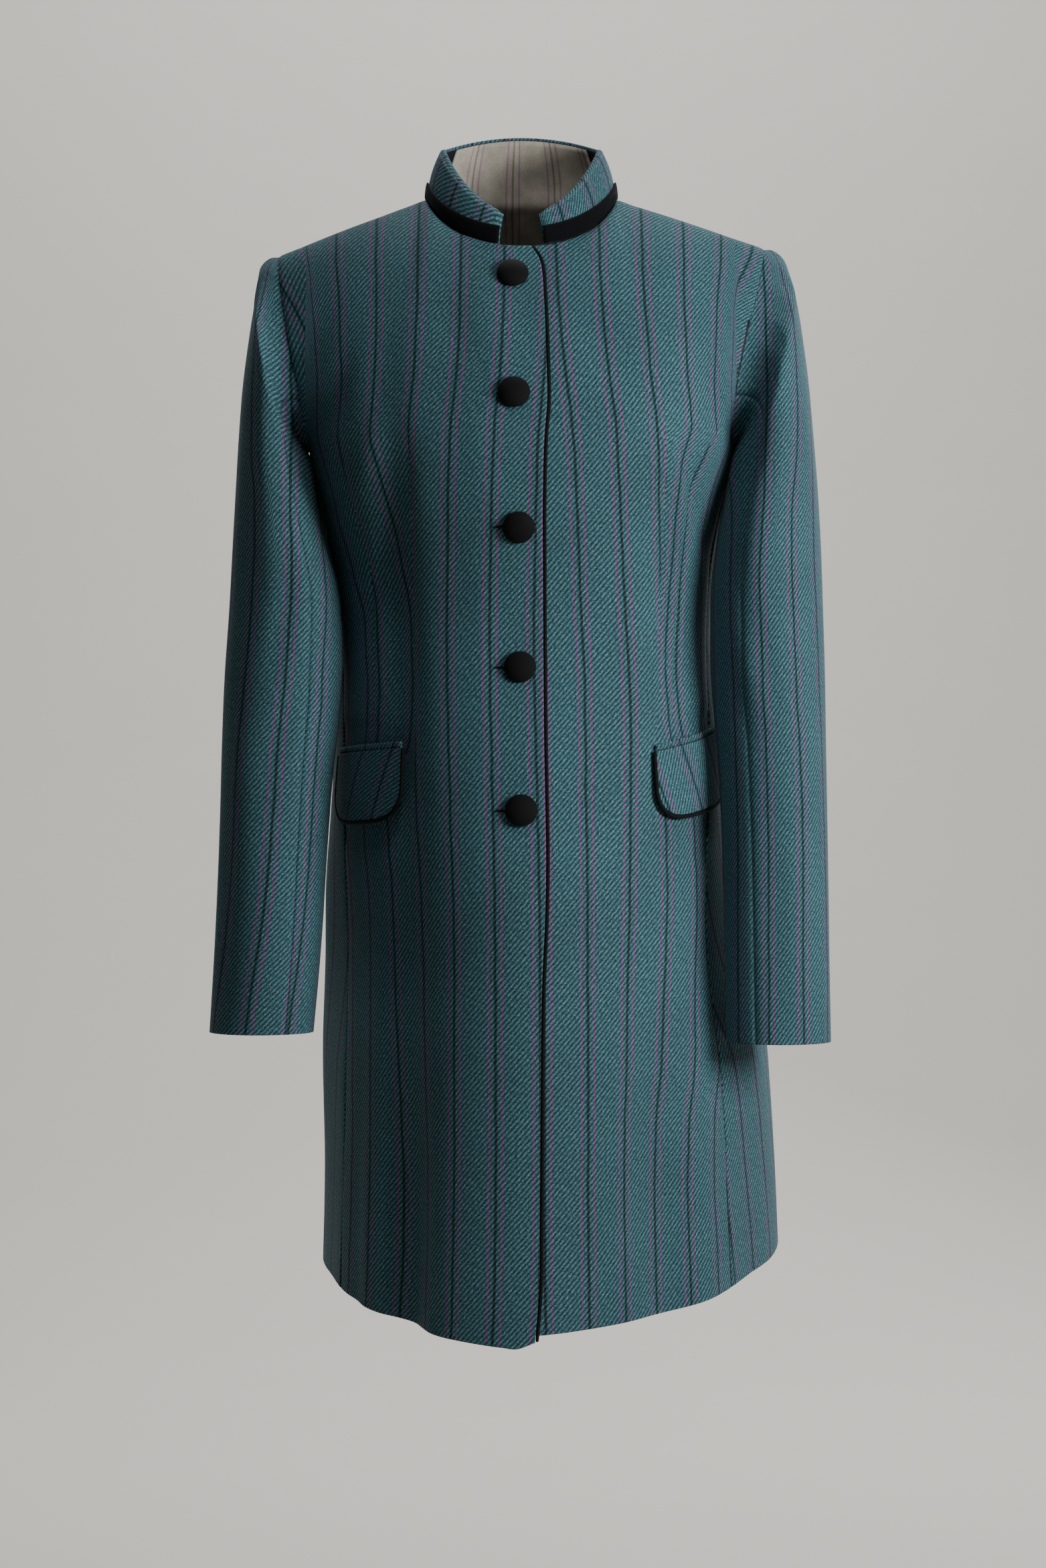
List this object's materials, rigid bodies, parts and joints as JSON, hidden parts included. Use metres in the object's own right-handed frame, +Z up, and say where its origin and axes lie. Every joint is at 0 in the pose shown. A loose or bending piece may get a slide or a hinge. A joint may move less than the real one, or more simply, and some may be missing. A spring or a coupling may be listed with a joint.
{
  "type": "long jacket",
  "caption": "Fitted long jacket of teal pin-striped wool with a velvet-banded stand collar, covered buttons, piped flap pockets and a flared skirt, hollow as worn",
  "frame": {"origin": "midway between the points where the shoulder seams meet the neck, where the wearer's shoulders hold the jacket", "axes": "+Z up, +X to the wearer's left, -Y to the front"},
  "size_m": [0.4861, 0.3279, 0.9588],
  "materials": {
    "striped_wool": "teal wool twill with dark and magenta pin-stripes, softly napped",
    "black_velvet": "black cotton velvet",
    "pale_facing": "pale grey-green striped facing cloth",
    "black_piping": "black cotton piping",
    "button_cover": "black woven cloth drawn over a domed button"
  },
  "bodies": {
    "root": {"front_right": "striped_wool", "front_left": "striped_wool", "back": "striped_wool", "sleeve_top_right": "striped_wool", "sleeve_under_right": "striped_wool", "sleeve_top_left": "striped_wool", "sleeve_under_left": "striped_wool", "collar": "striped_wool", "collar_band": "black_velvet", "neck_facing": "pale_facing", "front_piping": "black_piping", "button_1": "button_cover", "button_2": "button_cover", "button_3": "button_cover", "button_4": "button_cover", "button_5": "button_cover", "pocket_welt_right": "striped_wool", "pocket_welt_left": "striped_wool", "pocket_flap_right": "striped_wool", "pocket_flap_left": "striped_wool", "flap_piping_right": "black_piping", "flap_piping_left": "black_piping"}
  },
  "joints": []
}
